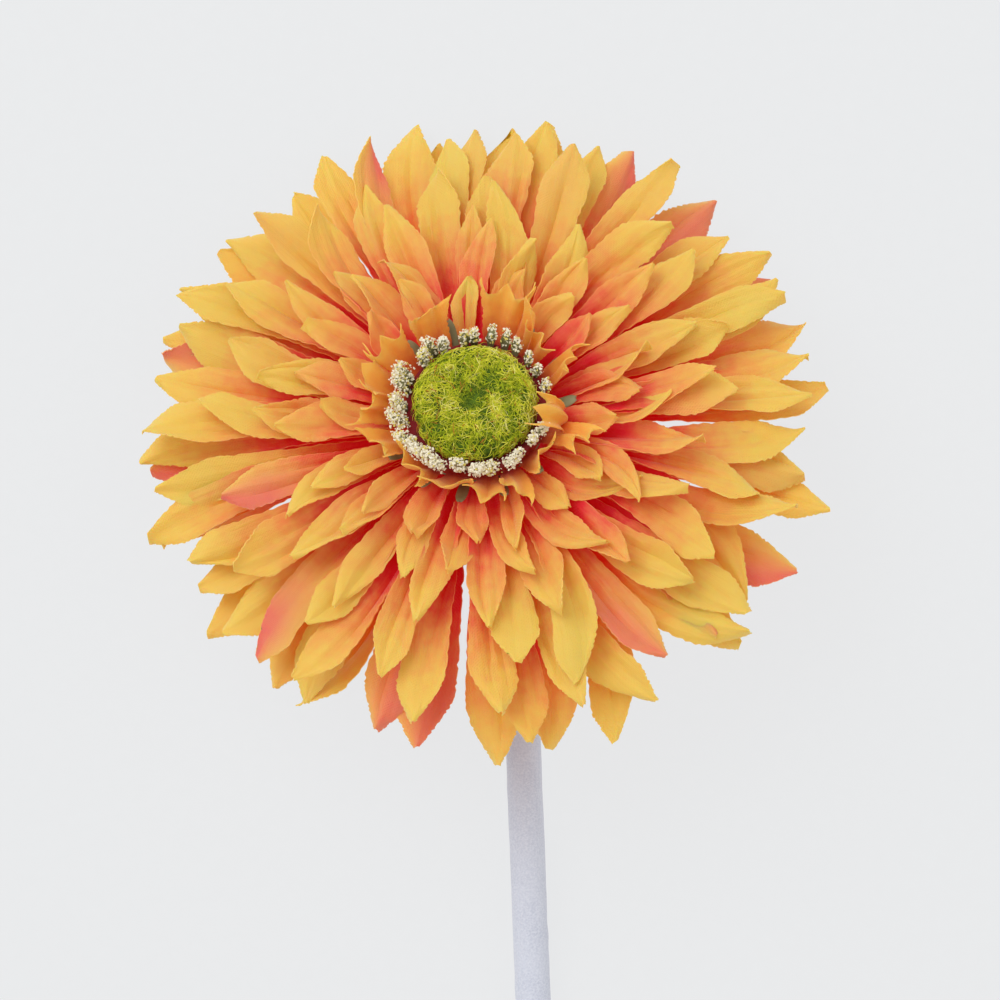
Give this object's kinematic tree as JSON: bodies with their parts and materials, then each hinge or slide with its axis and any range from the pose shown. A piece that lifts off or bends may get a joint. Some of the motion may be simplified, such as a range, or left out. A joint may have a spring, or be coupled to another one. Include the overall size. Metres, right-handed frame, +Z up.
{
  "type": "cut gerbera",
  "caption": "Cut gerbera of printed fabric, laid down face up: layers of pointed petals and a toothed collar round a felted disc, on a bare flocked stem that bends over behind the head.",
  "frame": {"origin": "middle of the flower's bounding box, at the height of the surface that it lies on", "axes": "+Y along the stem towards the head, +Z up, the head's face leaning towards +Y"},
  "size_m": [0.1246, 0.4492, 0.0517],
  "materials": {
    "stem_flock": "matt white flock",
    "green_plastic": "soft satin",
    "petal_cloth": "printed weave, red at the root to yellow at the tip",
    "collar_cloth": "printed weave, ochre",
    "stamen_plastic": "flocked with white crumbs",
    "disc_felt": "short matted fibres"
  },
  "bodies": {
    "root": {"stem": "stem_flock", "calyx": "green_plastic", "petal_layer_1": "petal_cloth", "petal_layer_2": "petal_cloth", "petal_layer_3": "petal_cloth", "petal_layer_4": "petal_cloth", "petal_layer_5": "petal_cloth", "petal_layer_6": "petal_cloth", "petal_layer_7": "petal_cloth", "tongue_ring": "green_plastic", "toothed_collar": "collar_cloth", "stamen_ring": "stamen_plastic", "disc": "disc_felt"}
  },
  "joints": []
}
